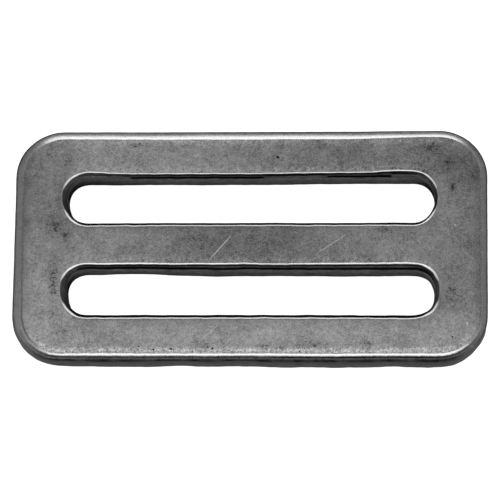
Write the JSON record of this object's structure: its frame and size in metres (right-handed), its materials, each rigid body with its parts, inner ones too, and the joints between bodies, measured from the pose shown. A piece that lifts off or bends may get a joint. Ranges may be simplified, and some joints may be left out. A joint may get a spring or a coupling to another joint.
{
  "type": "three-bar webbing slide",
  "caption": "Flat rectangular steel slide with rounded corners and parallel slots that hold folded strap webbing.",
  "frame": {"origin": "centre of the plate's flat back face", "axes": "+X along the slots, +Y across the bars, +Z out of the front face, the one with the wide rolled edge"},
  "size_m": [0.068, 0.0348, 0.004],
  "materials": {
    "steel": "tumbled bare mill steel, satin, dull grey with light tarnish, fine scratches and bright rubbed edges"
  },
  "bodies": {
    "root": {"slide_plate": "steel"}
  },
  "joints": []
}
